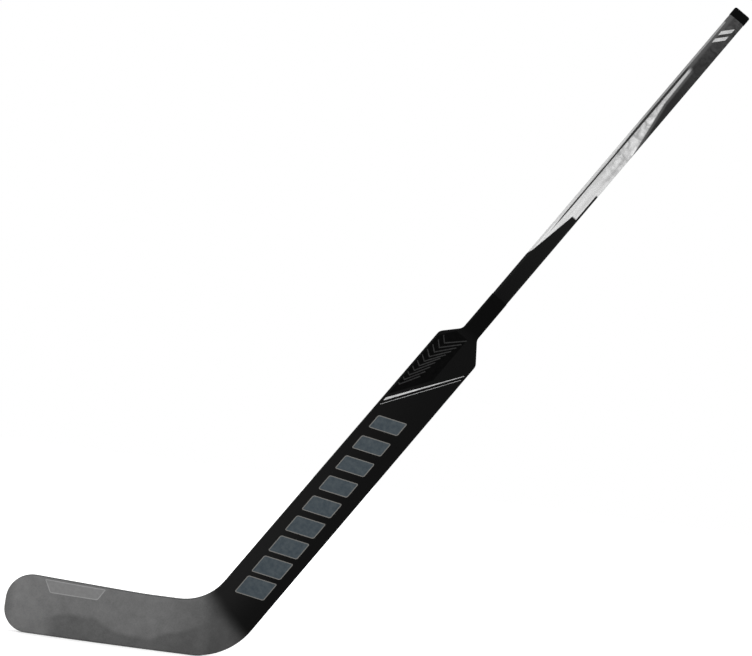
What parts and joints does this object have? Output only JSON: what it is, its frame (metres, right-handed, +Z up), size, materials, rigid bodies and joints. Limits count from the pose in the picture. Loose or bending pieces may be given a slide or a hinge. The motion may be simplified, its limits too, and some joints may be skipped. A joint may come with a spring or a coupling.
{
  "type": "hockey goalie stick",
  "caption": "Ice hockey goalie stick: a hollow rectangular shaft set into a wide cored paddle with sloped shoulders, and a long curved blade for stopping and clearing pucks.",
  "frame": {"origin": "on the sole, in the paddle's middle plane, where the flat of the sole ends and the heel starts to round", "axes": "+Z up from the sole, -X along the sole towards the toe, -Y out of the backhand face that the picture shows; the shaft rises towards +X in the XZ plane"},
  "size_m": [1.0413, 0.0413, 1.1151],
  "materials": {
    "stick_paint": "satin paint over carbon laminate, black on the paddle and mottled grey on the blade",
    "shaft_paint": "black, silver and charcoal satin paint over a carbon tube",
    "cap_plastic": "moulded black plastic",
    "grip_rubber": "raised rubber print",
    "foam_core": "closed-cell foam, hidden inside",
    "carbon_web": "bare carbon laminate, hidden inside"
  },
  "bodies": {
    "root": {"front_skin": "stick_paint", "back_skin": "stick_paint", "paddle_inner_rail": "stick_paint", "paddle_outer_rail": "stick_paint", "blade_top_rail": "stick_paint", "blade_sole_rail": "stick_paint", "blade_toe_rail": "stick_paint", "neck_wrap": "stick_paint", "shaft_tube": "shaft_paint", "butt_cap": "cap_plastic", "finger_grip_front": "grip_rubber", "finger_grip_back": "grip_rubber", "paddle_inner_core": "foam_core", "paddle_outer_core": "foam_core", "blade_upper_core": "foam_core", "blade_lower_core": "foam_core", "heel_block": "foam_core", "shaft_foot_plug": "foam_core", "paddle_spine": "carbon_web", "blade_bridge": "carbon_web"}
  },
  "joints": []
}
